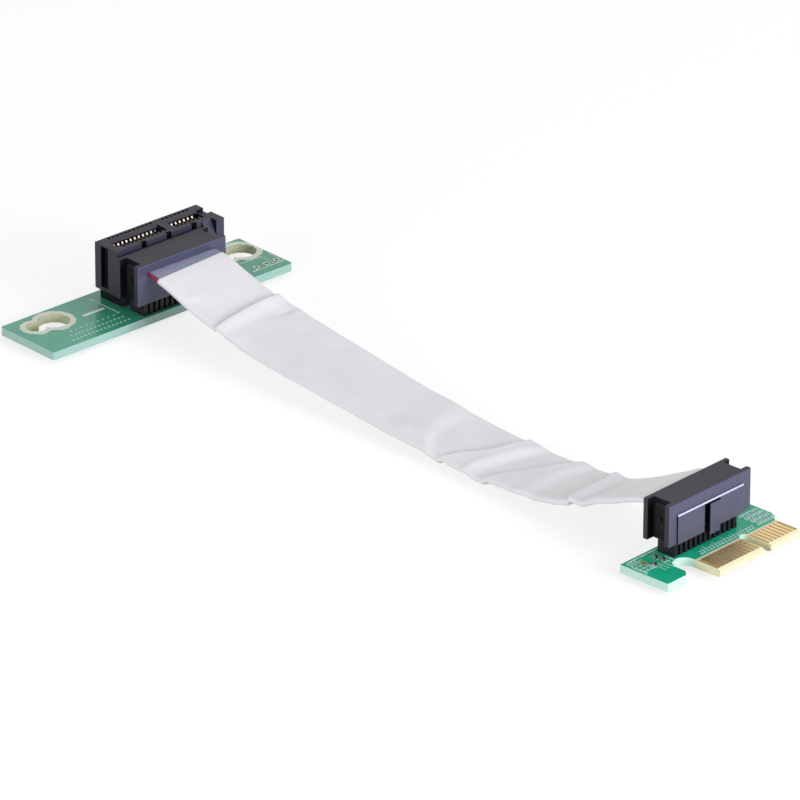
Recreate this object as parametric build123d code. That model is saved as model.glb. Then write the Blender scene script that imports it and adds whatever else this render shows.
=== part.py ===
from build123d import *
import math
import os

os.makedirs("parts", exist_ok=True)

# Riser cable: a slot board and an edge board joined by a flat ribbon in a shielding wrap.
# Working frame, in mm: the slot board's front edge is x = 0, its socket is centred on y = 0,
# +x runs along the ribbon to the edge board, +z is up and z = 0 is the table.
# The whole object is moved to its own origin at the end.

# Circuit boards
BOARD_THICKNESS = 1.6
TAIL_LENGTH = 1.0               # pin tails below each board, on which the object stands
PAD_THICKNESS = 0.08

# Slot board
SLOT_BOARD_DEPTH = 15.0
SLOT_BOARD_LEFT_END = 8.9       # from the left wide hole to the board's left end
SLOT_BOARD_RIGHT_END = 3.6
BOARD_CORNER_RADIUS = 0.5
KEYHOLE_HEAD_DIAMETER = 5.8
KEYHOLE_NECK_DIAMETER = 3.8
KEYHOLE_OFFSET = 4.2            # from the wide hole to the narrow one
KEYHOLE_SPACING = 45.7
KEYHOLE_FROM_FRONT = 10.4
RING_GAP_SHARE = 0.1856         # share of the free board beside the socket that is on its right
RING_WIDTH = 1.15
RING_SIDES = 12                 # flats round each solder ring
RING_EDGE_MARGIN = 0.15

# Card socket
CONTACT_PITCH = 1.0
CONTACTS_LONG = 11              # contacts on the long side of the key
CONTACTS_SHORT = 7
KEY_PITCH = 3.0                 # between the contacts beside the key
SOCKET_LENGTH = 24.7
SOCKET_DEPTH = 6.25
SOCKET_HEIGHT = 11.5
SOCKET_CENTER_X = -9.5
CARD_SLOT_WIDTH = 1.9
CARD_SLOT_DEPTH = 8.2
CARD_SLOT_LONG = 11.9
CARD_SLOT_SHORT = 7.9
SOCKET_KEY = 1.7                # rib between the two slots
SLOT_LEAD_IN = 0.45
CAVITY_WIDTH = 0.6
CAVITY_REACH = 1.75             # from the slot's wall out to the cavity's outer wall
CAVITY_ROOF = 0.7
BACK_WINDOW = (2.1, 2.7)        # openings in the roof, from the slot's middle outwards
FRONT_WINDOW = (1.4, 2.0)
SOCKET_FOOT_HEIGHT = 1.5
SOCKET_FOOT_INSET = 1.2
SOCKET_FOOT_SLOPE = 0.9
PEG_DIAMETER = 2.1
PEG_SIDES = 8
PEG_CLEARANCE = 0.1
END_POCKET_WIDTH = 2.0
END_POCKET_HEIGHT = 8.2
END_POCKET_DEPTH = 1.0
END_POCKET_OFFSET = -0.45
END_POCKET_TOP = 0.3            # wall above the pocket
END_NOTCH_WIDTH = 2.2
END_NOTCH_DEPTH = 0.65
WALL_NOTCH_WIDTH = 1.2
WALL_NOTCH_DEPTH = 1.2
WALL_NOTCH_THROUGH = 0.6
WALL_NOTCH_SPACING = 6.1
WALL_NOTCH_MIDDLE = 0.3
END_BLOCK_WIDTH = 1.9
END_BLOCK_PROUD = 1.6
RAMP_DROP = 3.0
RAMP_GAP = 0.2                  # between the plug's end and the ramp beside the end block

# Spring contacts of the card socket
SPRING_THICKNESS = 0.25
SPRING_WIDTH = 0.4
SPRING_SEAT = 0.05              # gap between the spring's leg and the cavity's outer wall
SPRING_REACH = 0.3              # how far the contact point stands into the slot
SPRING_TOP = 0.8                # spring tip below the socket's top
SPRING_POINT = 1.6
SPRING_ROOT = 6.6
TAIL_STAGGER = 1.25             # between the two rows of tails on one side
SPRING_TAIL_TRIM = 0.1          # socket tails end this much above the header tails

# Pin header under each ribbon plug
HEADER_PITCH = 1.27
HEADER_COLUMNS = 13
HEADER_DEPTH = 3.8
HEADER_HEIGHT = 3.0
RIB_GROOVE_WIDTH = 0.52
RIB_GROOVE_DEPTH = 0.6
PIN_SIZE = 0.4
PIN_REACH = 4.0                 # pin length inside the plug
PIN_CLEARANCE = 0.1             # round the pins inside the plug

# Ribbon plug
PLUG_LENGTH = 21.5
PLUG_BACK = 2.75                # from the pins' middle to the wall on the key side
PLUG_FRONT = 3.15               # from the pins' middle to the wall on the ribbon side
PLUG_BODY_HEIGHT = 5.35
PLUG_COVER_HEIGHT = 2.55
PLUG_EDGE_RADIUS = 0.25
PLUG_GAP = 0.675                # between the slot board's plug and the card socket
END_RECESS_DEPTH = 1.6
END_RECESS_WIDTH = 3.9
LATCH_WIDTH = 2.4
LATCH_THICKNESS = 0.6
LATCH_FOOT = 1.6                # height of the latch arm's lower end in the plug
LATCH_TOP = 1.0                 # from the plug's top to the arm's upper end
LATCH_NUB = 0.35
LATCH_NUB_WIDTH = 1.0
LATCH_NUB_HEIGHT = 0.8
LATCH_NUB_LEVEL = 4.0
PANEL_LENGTH = 17.3
PANEL_PROUD = 0.3
KEY_GROOVE_WIDTH = 1.5
KEY_GROOVE_DEPTH = 0.9
KEY_BLOCK_WIDTH = 2.6
KEY_BLOCK_DROP = 1.1
KEY_BLOCK_TOP = 0.5             # from the panel's ledge to the block's top
KEY_BLOCK_THICKNESS = 0.7
KEY_GROOVE_Y = 1.65             # far side of the groove from the plug's middle

# Edge board, in its own frame: x = 0 is the tongue's tip and y = 0 is the middle of the key
EDGE_TIP_X = 143.0
EDGE_KEY_Y = 6.95
EDGE_TURN = 4.5                 # the edge board lies turned by this angle, in degrees
EDGE_BOARD_BACK = 13.9
EDGE_BOARD_LEFT = 22.9
EDGE_BOARD_RIGHT = 10.3
TONGUE_LONG = 11.65
TONGUE_SHORT = 7.65
KEY_WIDTH = 1.9
KEY_DEPTH = 6.2
TONGUE_DEPTH = 5.7
TAB_FRONT = 2.95                # from the tongue's tip back to the tab's front edge
TAB_CHAMFER = 1.1
NOTCH_WIDTH = 4.4
NOTCH_DEPTH = 8.3               # from the tongue's tip back to the notch's inner end
SHOULDER_DEPTH = 2.3
BEVEL_LENGTH = 0.6
BEVEL_HEIGHT = 0.35
FINGER_WIDTH = 0.7
FINGER_LENGTH = 4.4
FINGER_SETBACK = 0.65
EDGE_PLUG_BACK = 10.7           # from the tongue's tip back to the plug's middle
EDGE_PLUG_Y = -6.35
CHIP_LENGTH = 1.0
CHIP_WIDTH = 0.55
CHIP_HEIGHT = 0.4
CHIP_TERMINAL = 0.22
CHIP_PLACES = [(-11.3, -16.6), (-9.7, -16.4), (-9.4, -18.9)]

# Slot board's plug and three bare pads at the right end
SLOT_PLUG_Y = -2.65
POWER_PAD_WIDTH = 1.3
POWER_PAD_SIDES = 8
POWER_PAD_HOLE = 0.8
POWER_PAD_X = -3.0
POWER_PAD_PITCH = 2.5
POWER_PAD_COUNT = 3
POWER_PAD_END = 1.4             # from the board's right end to the last pad's middle

# Ribbon
CORE_COUNT = 26
CORE_PITCH = 0.635
RIBBON_THICKNESS = 0.9
RIBBON_GRIP = 1.75              # depth of each plug's ribbon mouth
SLOT_GRIP = 1.7                 # ribbon length held inside the slot board's plug
EDGE_GRIP = 1.3
SLOT_EXIT = 1.4                 # from the mouth to the ribbon's first bend
EDGE_EXIT = 2.3
ROUTE_POINTS = [                # share of the way from mouth to mouth, and height of the centre line
    (0.0543, 9.85),
    (0.1096, 7.7),
    (0.2012, 5.95),
    (0.3441, 4.35),
    (0.5221, 2.55),
    (0.662, 1.6),
    (0.7666, 2.3),
    (0.8441, 3.85),
    (0.9035, 6.6),
    (0.9528, 9.55),
]
BEND_SHARE = 0.45               # share of the shorter run beside a bend that the bend takes up
WRAP_THICKNESS = 0.2
WRAP_START = 2.8                # bare ribbon beside the slot board's plug, along the left edge
WRAP_SKEW = 1.0                 # the wrap starts this much earlier along the right edge
WRAP_END_GAP = 0.5

# Heights and places that follow from the sizes above
BOARD_BOTTOM = TAIL_LENGTH
BOARD_TOP = BOARD_BOTTOM + BOARD_THICKNESS
SOCKET_TOP = BOARD_TOP + SOCKET_HEIGHT
PLUG_BOTTOM = BOARD_TOP + HEADER_HEIGHT
PLUG_HEIGHT = PLUG_BODY_HEIGHT + PLUG_COVER_HEIGHT
HEADER_LENGTH = HEADER_COLUMNS * HEADER_PITCH
RIBBON_WIDTH = CORE_COUNT * CORE_PITCH
EXIT_HEIGHT = PLUG_BOTTOM + PLUG_BODY_HEIGHT + RIBBON_THICKNESS / 2
SOCKET_FRONT_X = SOCKET_CENTER_X + SOCKET_DEPTH / 2
SOCKET_SHOULDER = BOARD_TOP + SOCKET_FOOT_HEIGHT + SOCKET_FOOT_SLOPE
SLOT_PLUG_X = SOCKET_FRONT_X + PLUG_GAP + PANEL_PROUD + PLUG_BACK
KEY_Y = CONTACT_PITCH * (CONTACTS_LONG - CONTACTS_SHORT) / 2
HEAD_REACH = KEYHOLE_HEAD_DIAMETER / 2 + RING_WIDTH
NECK_REACH = KEYHOLE_OFFSET + KEYHOLE_NECK_DIAMETER / 2 + RING_WIDTH
RING_GAPS = KEYHOLE_SPACING - HEAD_REACH - NECK_REACH - SOCKET_LENGTH
LEFT_KEYHOLE_Y = -SOCKET_LENGTH / 2 - RING_GAPS * (1 - RING_GAP_SHARE) - HEAD_REACH
RIGHT_KEYHOLE_Y = LEFT_KEYHOLE_Y + KEYHOLE_SPACING
SLOT_BOARD_START = LEFT_KEYHOLE_Y - SLOT_BOARD_LEFT_END
SLOT_BOARD_END = RIGHT_KEYHOLE_Y + SLOT_BOARD_RIGHT_END
WORK_SPAN = 400.0               # longer than the object, for shapes that are cut to size

EDGE_PLACE = Pos(EDGE_TIP_X, EDGE_KEY_Y, 0) * Rot(0, 0, EDGE_TURN)
SLOT_PLUG_PLACE = Pos(SLOT_PLUG_X, SLOT_PLUG_Y, 0)
EDGE_PLUG_PLACE = EDGE_PLACE * Pos(-EDGE_PLUG_BACK, EDGE_PLUG_Y, 0) * Rot(0, 0, 180)


def block(x0, x1, y0, y1, z0, z1):
    size = Box(x1 - x0, y1 - y0, z1 - z0)
    return Pos((x0 + x1) / 2, (y0 + y1) / 2, (z0 + z1) / 2) * size


def plate(face, bottom, thickness):
    return Pos(0, 0, bottom) * extrude(face, thickness)


def contact_columns():
    """Contact places along a card edge, measured from the middle of the key."""
    first = KEY_PITCH / 2
    long_side = [-first - CONTACT_PITCH * i for i in reversed(range(CONTACTS_LONG))]
    short_side = [first + CONTACT_PITCH * i for i in range(CONTACTS_SHORT)]
    return long_side + short_side


def tail_places():
    """Tail centres of the socket's contacts as (side, place along y, distance from the middle)."""
    far = CARD_SLOT_WIDTH / 2 + CAVITY_REACH - SPRING_SEAT - SPRING_THICKNESS / 2
    places = []
    for side in (-1, 1):
        for index, column in enumerate(contact_columns()):
            reach = far if index % 2 == 0 else far - TAIL_STAGGER
            places.append((side, KEY_Y + column, reach))
    return places


def header_places():
    """Pin centres of one header, around its own middle."""
    half = (HEADER_COLUMNS - 1) / 2
    return [
        (row * HEADER_PITCH / 2, (i - half) * HEADER_PITCH)
        for row in (-1, 1)
        for i in range(HEADER_COLUMNS)
    ]


def pin_rows(width):
    """Two long outlines, each round one row of a header's pins."""
    length = (HEADER_COLUMNS - 1) * HEADER_PITCH + width
    return [Pos(row * HEADER_PITCH / 2, 0) * Rectangle(width, length) for row in (-1, 1)]


# Slot board
def keyhole_outline():
    head = Circle(KEYHOLE_HEAD_DIAMETER / 2)
    return head + Pos(0, -KEYHOLE_OFFSET) * Circle(KEYHOLE_NECK_DIAMETER / 2)


def ring_outline(grow):
    """The keyhole's outline in short flats that stay outside its arcs."""
    head = RegularPolygon(KEYHOLE_HEAD_DIAMETER / 2 + grow, RING_SIDES, major_radius=False)
    neck = RegularPolygon(KEYHOLE_NECK_DIAMETER / 2 + grow, RING_SIDES, major_radius=False)
    return head + Pos(0, -KEYHOLE_OFFSET) * neck


def at_both_keyholes(outline):
    left = Pos(-KEYHOLE_FROM_FRONT, LEFT_KEYHOLE_Y) * outline
    right = Pos(-KEYHOLE_FROM_FRONT, RIGHT_KEYHOLE_Y) * outline
    return left + right


def slot_board_outline(inset):
    length = SLOT_BOARD_END - SLOT_BOARD_START
    middle = (SLOT_BOARD_START + SLOT_BOARD_END) / 2
    size = RectangleRounded(SLOT_BOARD_DEPTH - 2 * inset, length - 2 * inset, BOARD_CORNER_RADIUS)
    return Pos(-SLOT_BOARD_DEPTH / 2, middle) * size


def header_drills(place):
    """Openings that the soldered header pins fill."""
    hole = Rectangle(PIN_SIZE, PIN_SIZE)
    return [place * Pos(x, y) * hole for x, y in header_places()]


def socket_drills():
    """Openings that the soldered tails of the socket's contacts fill."""
    hole = Rectangle(SPRING_THICKNESS, SPRING_WIDTH)
    return [Pos(SOCKET_CENTER_X + side * reach, y) * hole for side, y, reach in tail_places()]


def power_pad_outline(width):
    return RegularPolygon(width / 2, POWER_PAD_SIDES, major_radius=False)


def power_places():
    last = SLOT_BOARD_END - POWER_PAD_END
    return [Pos(POWER_PAD_X, last - i * POWER_PAD_PITCH) for i in range(POWER_PAD_COUNT)]


def power_drills():
    return [place * power_pad_outline(POWER_PAD_HOLE) for place in power_places()]


def slot_board():
    peg = Pos(SOCKET_CENTER_X, KEY_Y) * Circle(PEG_DIAMETER / 2 + PEG_CLEARANCE)
    outline = slot_board_outline(0) - at_both_keyholes(keyhole_outline()) - peg
    outline = outline - header_drills(SLOT_PLUG_PLACE) - socket_drills() - power_drills()
    return plate(outline, BOARD_BOTTOM, BOARD_THICKNESS)


def mounting_rings():
    ring = at_both_keyholes(ring_outline(RING_WIDTH)) & slot_board_outline(RING_EDGE_MARGIN)
    ring = ring - at_both_keyholes(ring_outline(0))
    top = plate(ring, BOARD_TOP, PAD_THICKNESS)
    bottom = plate(ring, BOARD_BOTTOM - PAD_THICKNESS, PAD_THICKNESS)
    return Compound(top.solids() + bottom.solids())


def power_pads():
    ring = power_pad_outline(POWER_PAD_WIDTH) - power_pad_outline(POWER_PAD_HOLE)
    rings = []
    for place in power_places():
        rings += plate(place * ring, BOARD_TOP, PAD_THICKNESS).solids()
    return Compound(rings)


# Card socket
def socket_shell():
    """Outer form of the housing, whose foot is shorter than its upper part."""
    half = SOCKET_LENGTH / 2
    foot = half - SOCKET_FOOT_INSET
    side = Polyline(
        (-foot, BOARD_TOP),
        (-foot, BOARD_TOP + SOCKET_FOOT_HEIGHT),
        (-half, SOCKET_SHOULDER),
        (-half, SOCKET_TOP),
        (half, SOCKET_TOP),
        (half, SOCKET_SHOULDER),
        (foot, BOARD_TOP + SOCKET_FOOT_HEIGHT),
        (foot, BOARD_TOP),
        close=True,
    )
    shell = extrude(Plane.YZ * make_face(side), SOCKET_DEPTH / 2, both=True)
    peg = plate(RegularPolygon(PEG_DIAMETER / 2, PEG_SIDES), BOARD_BOTTOM, BOARD_THICKNESS)
    return shell + Pos(0, KEY_Y, 0) * peg + front_end_block()


def front_end_block():
    """Thick end of the front wall, with a ramp that leads to it from beside the plug."""
    face = SOCKET_DEPTH / 2
    end = SOCKET_LENGTH / 2
    start = end - END_BLOCK_WIDTH
    ramp_start = SLOT_PLUG_Y + PLUG_LENGTH / 2 + RAMP_GAP
    thick = block(face, face + END_BLOCK_PROUD, start, end, SOCKET_SHOULDER, SOCKET_TOP)
    side = Polyline(
        (face, SOCKET_SHOULDER),
        (face + END_BLOCK_PROUD, SOCKET_SHOULDER),
        (face + END_BLOCK_PROUD, SOCKET_TOP - RAMP_DROP),
        (face, SOCKET_TOP),
        close=True,
    )
    ramp = Pos(0, start, 0) * extrude(Plane.XZ * make_face(side), start - ramp_start)
    return thick + ramp


def card_slots():
    floor = SOCKET_TOP - CARD_SLOT_DEPTH
    half = CARD_SLOT_WIDTH / 2
    near = KEY_Y - SOCKET_KEY / 2
    far = KEY_Y + SOCKET_KEY / 2
    spans = [(near - CARD_SLOT_LONG, near), (far, far + CARD_SLOT_SHORT)]
    lead_top = half + SLOT_LEAD_IN
    lead = Polyline(
        (-half, SOCKET_TOP - SLOT_LEAD_IN),
        (half, SOCKET_TOP - SLOT_LEAD_IN),
        (lead_top, SOCKET_TOP),
        (-lead_top, SOCKET_TOP),
        close=True,
    )
    lead_face = Plane.XZ * make_face(lead)
    cuts = []
    for start, end in spans:
        cuts.append(block(-half, half, start, end, floor, SOCKET_TOP))
        cuts.append(Pos(0, end, 0) * extrude(lead_face, end - start))
    return cuts


def contact_cavities():
    inner = CARD_SLOT_WIDTH / 2 - SLOT_LEAD_IN
    outer = CARD_SLOT_WIDTH / 2 + CAVITY_REACH
    roof = SOCKET_TOP - CAVITY_ROOF
    cuts = []
    for column in contact_columns():
        start = KEY_Y + column - CAVITY_WIDTH / 2
        end = start + CAVITY_WIDTH
        cuts.append(block(inner, outer, start, end, BOARD_TOP, roof))
        cuts.append(block(-outer, -inner, start, end, BOARD_TOP, roof))
        cuts.append(block(FRONT_WINDOW[0], FRONT_WINDOW[1], start, end, roof, SOCKET_TOP))
        cuts.append(block(-BACK_WINDOW[1], -BACK_WINDOW[0], start, end, roof, SOCKET_TOP))
    return cuts


def socket_end_cuts():
    half = SOCKET_LENGTH / 2
    pocket_top = SOCKET_TOP - END_POCKET_TOP
    pocket = block(
        END_POCKET_OFFSET - END_POCKET_WIDTH / 2,
        END_POCKET_OFFSET + END_POCKET_WIDTH / 2,
        -half,
        END_POCKET_DEPTH - half,
        pocket_top - END_POCKET_HEIGHT,
        pocket_top,
    )
    notch = block(
        -END_NOTCH_WIDTH / 2,
        END_NOTCH_WIDTH / 2,
        KEY_Y + SOCKET_KEY / 2 + CARD_SLOT_SHORT,
        half,
        SOCKET_TOP - END_NOTCH_DEPTH,
        SOCKET_TOP,
    )
    return [pocket, notch]


def front_wall_cuts():
    face = SOCKET_DEPTH / 2
    cuts = []
    for step in (-1, 0, 1):
        middle = WALL_NOTCH_MIDDLE + step * WALL_NOTCH_SPACING
        cuts.append(block(
            face - WALL_NOTCH_THROUGH,
            face,
            middle - WALL_NOTCH_WIDTH / 2,
            middle + WALL_NOTCH_WIDTH / 2,
            SOCKET_TOP - WALL_NOTCH_DEPTH,
            SOCKET_TOP,
        ))
    return cuts


def socket_housing():
    cuts = card_slots() + contact_cavities() + socket_end_cuts() + front_wall_cuts()
    return Pos(SOCKET_CENTER_X, 0, 0) * (socket_shell() - cuts)


def strip(points, thickness):
    """Closed outline of a bent strip of even thickness along its centre line."""
    sides = ([], [])
    last = len(points) - 1
    for i, (x, z) in enumerate(points):
        before = points[max(i - 1, 0)]
        after = points[min(i + 1, last)]
        first = math.atan2(z - before[1], x - before[0]) if i > 0 else None
        second = math.atan2(after[1] - z, after[0] - x) if i < last else None
        first = second if first is None else first
        second = first if second is None else second
        middle = (first + second) / 2
        if abs(second - first) > math.pi:
            middle += math.pi
        reach = thickness / 2 / math.cos(middle - first)
        shift = (-math.sin(middle) * reach, math.cos(middle) * reach)
        sides[0].append((x + shift[0], z + shift[1]))
        sides[1].append((x - shift[0], z - shift[1]))
    return Polyline(*sides[0], *reversed(sides[1]), close=True)


def spring_contact(reach):
    """One contact: tail, leg along the cavity's outer wall, sprung arm and turned-out tip."""
    leg = CARD_SLOT_WIDTH / 2 + CAVITY_REACH - SPRING_SEAT - SPRING_THICKNESS / 2
    point = CARD_SLOT_WIDTH / 2 - SPRING_REACH + SPRING_THICKNESS / 2
    jog = BOARD_TOP + SPRING_WIDTH
    tail = [(reach, SPRING_TAIL_TRIM), (reach, jog)]
    if reach < leg:
        tail = tail + [(leg, jog + SPRING_WIDTH)]
    spring = [
        (leg, SOCKET_TOP - SPRING_ROOT),
        (point, SOCKET_TOP - SPRING_POINT),
        (point + 2 * SPRING_THICKNESS, SOCKET_TOP - SPRING_TOP),
    ]
    face = Plane.XZ * make_face(strip(tail + spring, SPRING_THICKNESS))
    return extrude(face, SPRING_WIDTH / 2, both=True)


def socket_contacts(side):
    springs = []
    shapes = {}
    for place_side, y, reach in tail_places():
        if place_side != side:
            continue
        if reach not in shapes:
            shapes[reach] = spring_contact(reach)
        turn = 0 if side > 0 else 180
        placed = Pos(SOCKET_CENTER_X, y, 0) * Rot(0, 0, turn) * shapes[reach]
        springs += placed.solids()
    return Compound(springs)


# Pin headers
def header_base():
    half_depth = HEADER_DEPTH / 2
    outline = Rectangle(HEADER_DEPTH, HEADER_LENGTH)
    grooves = []
    for i in range(HEADER_COLUMNS - 1):
        y = (i + 1 - HEADER_COLUMNS / 2) * HEADER_PITCH
        for side in (-1, 1):
            x = side * (half_depth - RIB_GROOVE_DEPTH / 2)
            grooves.append(Pos(x, y) * Rectangle(RIB_GROOVE_DEPTH, RIB_GROOVE_WIDTH))
    return plate(outline - grooves - pin_rows(PIN_SIZE), BOARD_TOP, HEADER_HEIGHT)


def header_pins():
    top = PLUG_BOTTOM + PIN_REACH
    pins = []
    for x, y in header_places():
        pins.append(Pos(x, y, top / 2) * Box(PIN_SIZE, PIN_SIZE, top))
    return Compound(pins)


# Ribbon plugs, around the header's middle, with the ribbon leaving towards +x
def end_recesses(bottom, top):
    half = PLUG_LENGTH / 2
    middle = (PLUG_FRONT - PLUG_BACK) / 2
    start = middle - END_RECESS_WIDTH / 2
    end = middle + END_RECESS_WIDTH / 2
    left = block(start, end, -half, END_RECESS_DEPTH - half, bottom, top)
    right = block(start, end, half - END_RECESS_DEPTH, half, bottom, top)
    return [left, right]


def key_panel():
    """Raised wall opposite the ribbon, with the polarising block beside its groove."""
    face = -PLUG_BACK
    ledge = PLUG_BOTTOM + PLUG_BODY_HEIGHT
    half = PANEL_LENGTH / 2
    block_end = KEY_GROOVE_Y - KEY_GROOVE_WIDTH
    block_start = block_end - KEY_BLOCK_WIDTH
    panel = block(face - PANEL_PROUD, face, -half, half, PLUG_BOTTOM, ledge)
    window = block(face - PANEL_PROUD, face, block_start, KEY_GROOVE_Y, PLUG_BOTTOM, ledge)
    key = block(
        face - PANEL_PROUD,
        face - PANEL_PROUD + KEY_BLOCK_THICKNESS,
        block_start,
        block_end,
        PLUG_BOTTOM - KEY_BLOCK_DROP,
        ledge - KEY_BLOCK_TOP,
    )
    return (panel - window) + key


def plug_body():
    ledge = PLUG_BOTTOM + PLUG_BODY_HEIGHT
    half = PLUG_LENGTH / 2
    core = block(-PLUG_BACK, PLUG_FRONT, -half, half, PLUG_BOTTOM, ledge)
    block_end = KEY_GROOVE_Y - KEY_GROOVE_WIDTH
    block_start = block_end - KEY_BLOCK_WIDTH
    floor = KEY_GROOVE_DEPTH - PLUG_BACK
    groove = block(-PLUG_BACK, floor, block_end, KEY_GROOVE_Y, PLUG_BOTTOM, ledge)
    gap = block(-PLUG_BACK, floor, block_start, block_end, ledge - KEY_BLOCK_TOP, ledge)
    depth = PIN_REACH + PIN_CLEARANCE
    rows = [plate(row, PLUG_BOTTOM, depth) for row in pin_rows(PIN_SIZE + 2 * PIN_CLEARANCE)]
    cuts = end_recesses(PLUG_BOTTOM, ledge) + [groove, gap] + rows
    return (core - cuts) + key_panel()


def latch_arm(side):
    wall = PLUG_LENGTH / 2 - END_RECESS_DEPTH
    foot = PLUG_BOTTOM + LATCH_FOOT
    level = PLUG_BOTTOM + LATCH_NUB_LEVEL
    arm_height = PLUG_HEIGHT - LATCH_TOP - LATCH_FOOT
    arm = Box(LATCH_WIDTH, LATCH_THICKNESS, arm_height)
    nub = Box(LATCH_NUB_WIDTH, LATCH_NUB, LATCH_NUB_HEIGHT)
    middle = (PLUG_FRONT - PLUG_BACK) / 2
    arm = Pos(middle, side * (wall + LATCH_THICKNESS / 2), foot + arm_height / 2) * arm
    nub_y = side * (wall + LATCH_THICKNESS + LATCH_NUB / 2)
    return arm + Pos(middle, nub_y, level + LATCH_NUB_HEIGHT / 2) * nub


def plug_cover():
    bottom = PLUG_BOTTOM + PLUG_BODY_HEIGHT
    top = PLUG_BOTTOM + PLUG_HEIGHT
    lid = block(-PLUG_BACK, PLUG_FRONT, -PLUG_LENGTH / 2, PLUG_LENGTH / 2, bottom, top)
    lid = fillet(lid.edges().filter_by(Axis.Y).group_by(Axis.Z)[-1], PLUG_EDGE_RADIUS)
    ribbon_mouth = block(
        PLUG_FRONT - RIBBON_GRIP,
        PLUG_FRONT,
        -RIBBON_WIDTH / 2,
        RIBBON_WIDTH / 2,
        bottom,
        bottom + RIBBON_THICKNESS,
    )
    lid = lid - (end_recesses(bottom, top) + [ribbon_mouth])
    return lid + latch_arm(1) + latch_arm(-1)


# Edge board
def edge_board_outline():
    left_tongue = -KEY_WIDTH / 2 - TONGUE_LONG
    right_tongue = KEY_WIDTH / 2 + TONGUE_SHORT
    notch_left = left_tongue - NOTCH_WIDTH
    radius = NOTCH_WIDTH / 2
    slot_radius = KEY_WIDTH / 2
    sheet = make_face(Polyline(
        (-EDGE_BOARD_BACK, -EDGE_BOARD_LEFT),
        (-TAB_FRONT, -EDGE_BOARD_LEFT),
        (-TAB_FRONT, notch_left - TAB_CHAMFER),
        (-TAB_FRONT - TAB_CHAMFER, notch_left),
        (-TAB_FRONT - TAB_CHAMFER, left_tongue),
        (0, left_tongue),
        (0, right_tongue),
        (-TONGUE_DEPTH, right_tongue),
        (-TONGUE_DEPTH - SHOULDER_DEPTH, EDGE_BOARD_RIGHT),
        (-EDGE_BOARD_BACK, EDGE_BOARD_RIGHT),
        close=True,
    ))
    notch_end = NOTCH_DEPTH - radius
    notch = Pos(-notch_end / 2, left_tongue - radius) * Rectangle(notch_end, NOTCH_WIDTH)
    notch_arc = Pos(-notch_end, left_tongue - radius) * Circle(radius)
    key_end = KEY_DEPTH - slot_radius
    key = Pos(-key_end / 2, 0) * Rectangle(key_end, KEY_WIDTH)
    key_arc = Pos(-key_end, 0) * Circle(slot_radius)
    return sheet - notch - notch_arc - key - key_arc


def tip_bevels():
    """Wedges that bevel the tongue's tip on both faces."""
    left = -KEY_WIDTH / 2 - TONGUE_LONG
    length = TONGUE_LONG + KEY_WIDTH + TONGUE_SHORT
    top = Polyline(
        (-BEVEL_LENGTH, BOARD_TOP),
        (0, BOARD_TOP),
        (0, BOARD_TOP - BEVEL_HEIGHT),
        close=True,
    )
    bottom = Polyline(
        (-BEVEL_LENGTH, BOARD_BOTTOM),
        (0, BOARD_BOTTOM + BEVEL_HEIGHT),
        (0, BOARD_BOTTOM),
        close=True,
    )
    wedges = [extrude(Plane.XZ * make_face(line), length) for line in (top, bottom)]
    return [Pos(0, left + length, 0) * wedge for wedge in wedges]


def edge_board():
    plug = Pos(-EDGE_PLUG_BACK, EDGE_PLUG_Y, 0)
    outline = edge_board_outline() - header_drills(plug)
    board = plate(outline, BOARD_BOTTOM, BOARD_THICKNESS)
    return EDGE_PLACE * (board - tip_bevels())


def edge_fingers(bottom):
    middle = -FINGER_SETBACK - FINGER_LENGTH / 2
    fingers = []
    for column in contact_columns():
        pad = Pos(middle, column, bottom + PAD_THICKNESS / 2)
        pad = pad * Box(FINGER_LENGTH, FINGER_WIDTH, PAD_THICKNESS)
        fingers.append(EDGE_PLACE * pad)
    return Compound(fingers)


def chip_bodies():
    length = CHIP_LENGTH - 2 * CHIP_TERMINAL
    height = BOARD_TOP + CHIP_HEIGHT / 2
    chips = [Pos(x, y, height) * Box(CHIP_WIDTH, length, CHIP_HEIGHT) for x, y in CHIP_PLACES]
    return Compound([EDGE_PLACE * chip for chip in chips])


def chip_terminals():
    reach = (CHIP_LENGTH - CHIP_TERMINAL) / 2
    height = BOARD_TOP + CHIP_HEIGHT / 2
    caps = []
    for x, y in CHIP_PLACES:
        for side in (-1, 1):
            cap = Pos(x, y + side * reach, height) * Box(CHIP_WIDTH, CHIP_TERMINAL, CHIP_HEIGHT)
            caps.append(EDGE_PLACE * cap)
    return Compound(caps)


# Ribbon: a side profile along its route, cut to the band that it covers seen from above
def plug_mouths():
    """Middle of each plug's ribbon mouth and its outward direction, seen from above."""
    start = SLOT_PLUG_PLACE * Pos(PLUG_FRONT, 0, 0)
    end = EDGE_PLUG_PLACE * Pos(PLUG_FRONT, 0, 0)
    return start.position, end.position


def side_route():
    """Centre line seen from the side, as (x, z) points."""
    start, end = plug_mouths()
    span = end.X - start.X
    leaving = [(start.X - SLOT_GRIP, EXIT_HEIGHT), (start.X + SLOT_EXIT, EXIT_HEIGHT)]
    arriving = [(end.X - EDGE_EXIT, EXIT_HEIGHT), (end.X + EDGE_GRIP, EXIT_HEIGHT)]
    return leaving + [(start.X + share * span, z) for share, z in ROUTE_POINTS] + arriving


def plan_route():
    """Centre line seen from above, straight out of the slot plug and into the edge plug."""
    start, end = plug_mouths()
    turn = math.radians(EDGE_TURN)
    corner_x = end.X - (end.Y - start.Y) / math.tan(turn)
    return [
        (start.X - SLOT_GRIP, start.Y),
        (corner_x, start.Y),
        (end.X + EDGE_GRIP, end.Y + EDGE_GRIP * math.tan(turn)),
    ]


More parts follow.
